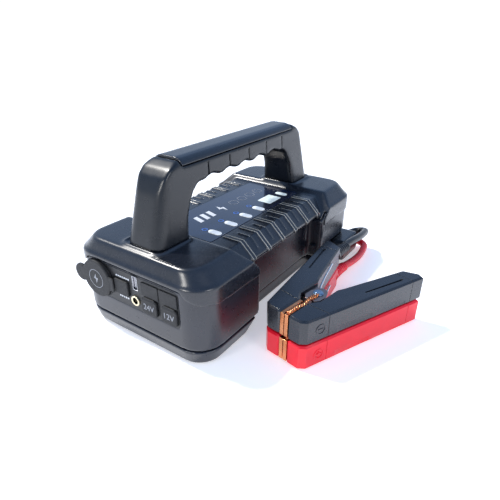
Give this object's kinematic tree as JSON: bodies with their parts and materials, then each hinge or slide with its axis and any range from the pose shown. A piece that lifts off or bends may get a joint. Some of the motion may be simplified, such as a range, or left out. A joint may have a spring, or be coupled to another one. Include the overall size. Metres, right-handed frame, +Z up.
{
  "type": "jump starter pack",
  "caption": "Portable jump starter pack with a carry handle, a port panel under rubber covers, a keyed label, and plug-in jump leads with battery clamps.",
  "frame": {"origin": "centre of the whole footprint, case and leads together at rest, at floor level", "axes": "+X along the case from the port panel to the far end, +Z up, leads plug in from -Y"},
  "size_m": [0.3186, 0.2867, 0.1679],
  "materials": {
    "board_green": "solder mask",
    "brass_metal": "plain",
    "cable_black": "silicone",
    "cable_red": "silicone",
    "case_plastic": "semi-gloss moulded black",
    "cell_steel": "sleeved",
    "clamp_black": "semi-gloss",
    "clamp_red": "semi-gloss",
    "cover_plastic": "semi-gloss moulded black",
    "feet_rubber": "matt",
    "frame_plastic": "matt",
    "grip_insert": "smooth black",
    "handle_plastic": "semi-gloss moulded black",
    "jaw_copper": "copper plated",
    "key_white": "satin white",
    "label_gloss": "gloss navy",
    "link_zinc": "copper-tinted plate",
    "panel_plastic": "fine matt",
    "pin_zinc": "blue zinc",
    "plug_plastic": "satin",
    "port_steel": "satin",
    "ring_brass": "polished",
    "screw_steel": "zinc",
    "socket_plastic": "matt",
    "soft_rubber": "granular matt",
    "spring_steel": "bright",
    "window_white": "diffused white"
  },
  "bodies": {
    "case": {"base_tray": "case_plastic", "battery_cells": "cell_steel", "battery_frame": "frame_plastic", "boost_socket_12v": "socket_plastic", "boost_socket_24v": "socket_plastic", "bus_bars": "brass_metal", "cap_tether": "soft_rubber", "case_screws": "screw_steel", "clamp_pegs": "case_plastic", "dc_jack": "socket_plastic", "dc_jack_ring": "ring_brass", "flap_pads": "soft_rubber", "gauge_window": "window_white", "handle_frame": "handle_plastic", "handle_grip": "grip_insert", "handle_screws": "screw_steel", "key_board": "board_green", "label_panel": "label_gloss", "lead_recess": "case_plastic", "lower_housing": "case_plastic", "main_board": "board_green", "output_socket": "socket_plastic", "port_board": "board_green", "port_panel": "panel_plastic", "rubber_feet": "feet_rubber", "socket_barrel": "socket_plastic", "socket_contact": "brass_metal", "status_window": "window_white", "top_cover": "cover_plastic", "usb_port": "port_steel"},
    "leads": {"lead_plug": "plug_plastic", "black_cable": "cable_black", "red_cable": "cable_red", "black_clamp_pin": "pin_zinc", "black_clamp_spring": "spring_steel", "red_clamp_pin": "pin_zinc", "red_clamp_spring": "spring_steel"},
    "black_arm_left": {"black_clamp_arm_left": "clamp_black", "black_clamp_jaw_left": "jaw_copper", "black_clamp_link_left": "link_zinc"},
    "black_arm_right": {"black_clamp_arm_right": "clamp_black", "black_clamp_jaw_right": "jaw_copper", "black_clamp_link_right": "link_zinc"},
    "red_arm_left": {"red_clamp_arm_left": "clamp_red", "red_clamp_jaw_left": "jaw_copper", "red_clamp_link_left": "link_zinc"},
    "red_arm_right": {"red_clamp_arm_right": "clamp_red", "red_clamp_jaw_right": "jaw_copper", "red_clamp_link_right": "link_zinc"},
    "cap": {"socket_cap": "soft_rubber"},
    "cover_24v": {"flap_24v": "soft_rubber"},
    "cover_12v": {"flap_12v": "soft_rubber"},
    "button_power": {"key_power": "key_white"},
    "button_light": {"key_light": "key_white"},
    "button_boost": {"key_boost": "key_white"},
    "button_output": {"key_output": "key_white"}
  },
  "joints": [
    {"name": "leads_unplug", "type": "slide", "parent": "case", "child": "leads", "axis": [0, -1, 0], "range_m": [0, 0.03]},
    {"name": "black_clamp_left", "type": "hinge", "parent": "leads", "child": "black_arm_left", "pos_m": [-0.0531, -0.07025, 0.0397], "axis": [0, 0, -1], "range_deg": [0, 16]},
    {"name": "black_clamp_right", "type": "hinge", "parent": "leads", "child": "black_arm_right", "pos_m": [-0.0531, -0.07025, 0.0397], "axis": [0, 0, 1], "range_deg": [0, 16]},
    {"name": "red_clamp_left", "type": "hinge", "parent": "leads", "child": "red_arm_left", "pos_m": [-0.0531, -0.07025, 0.0131], "axis": [0, 0, -1], "range_deg": [0, 16]},
    {"name": "red_clamp_right", "type": "hinge", "parent": "leads", "child": "red_arm_right", "pos_m": [-0.0531, -0.07025, 0.0131], "axis": [0, 0, 1], "range_deg": [0, 16]},
    {"name": "cap_hinge", "type": "hinge", "parent": "case", "child": "cap", "pos_m": [-0.1583, 0.08595, 0.0565], "axis": [0, 0, 1], "range_deg": [0, 100]},
    {"name": "cover_24v_hinge", "type": "hinge", "parent": "case", "child": "cover_24v", "pos_m": [-0.1563, 0.04175, 0.0566], "axis": [0, 1, 0], "range_deg": [0, 100]},
    {"name": "cover_12v_hinge", "type": "hinge", "parent": "case", "child": "cover_12v", "pos_m": [-0.1563, 0.01815, 0.0566], "axis": [0, 1, 0], "range_deg": [0, 100]},
    {"name": "power_press", "type": "slide", "parent": "case", "child": "button_power", "axis": [0, 0, -1], "range_m": [0, 0.0008], "stiffness_N_per_m": 2000},
    {"name": "light_press", "type": "slide", "parent": "case", "child": "button_light", "axis": [0, 0, -1], "range_m": [0, 0.0008], "stiffness_N_per_m": 2000},
    {"name": "boost_press", "type": "slide", "parent": "case", "child": "button_boost", "axis": [0, 0, -1], "range_m": [0, 0.0008], "stiffness_N_per_m": 2000},
    {"name": "output_press", "type": "slide", "parent": "case", "child": "button_output", "axis": [0, 0, -1], "range_m": [0, 0.0008], "stiffness_N_per_m": 2000}
  ],
  "couplings": [
    {"joint": "black_clamp_right", "follows": "black_clamp_left", "ratio": 1},
    {"joint": "red_clamp_right", "follows": "red_clamp_left", "ratio": 1}
  ]
}
